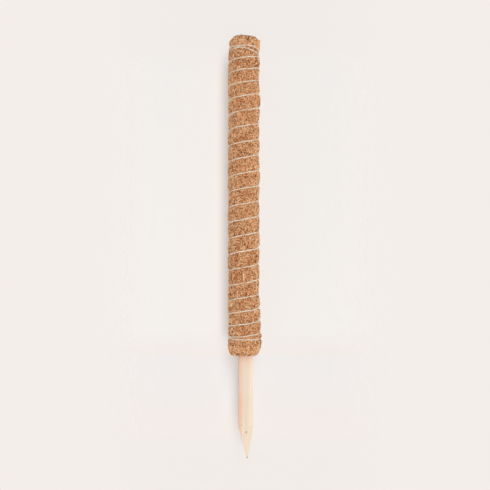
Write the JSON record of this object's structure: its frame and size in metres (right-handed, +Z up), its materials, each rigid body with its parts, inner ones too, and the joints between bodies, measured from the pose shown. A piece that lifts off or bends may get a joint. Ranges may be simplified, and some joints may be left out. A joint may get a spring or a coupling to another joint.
{
  "type": "moss pole",
  "caption": "Plant support pole: a pointed wooden stake wrapped in a coir fibre mat that is bound with a spiral of cotton twine, pushed into potting soil for climbing plants.",
  "frame": {"origin": "on the stake's axis at the soil line, which is the lower end of the coir mat", "axes": "+Z up along the pole towards the coir end, -Y towards the viewer of the picture, +X to the picture's right"},
  "size_m": [0.0305, 0.0367, 0.4025],
  "materials": {
    "stake_wood": "bare sanded softwood",
    "coir": "felted coconut fibre",
    "twine": "undyed twisted cotton"
  },
  "bodies": {
    "root": {"stake": "stake_wood", "coir_mat": "coir", "binding_twine": "twine", "bottom_knot": "twine", "top_knot": "twine"}
  },
  "joints": []
}
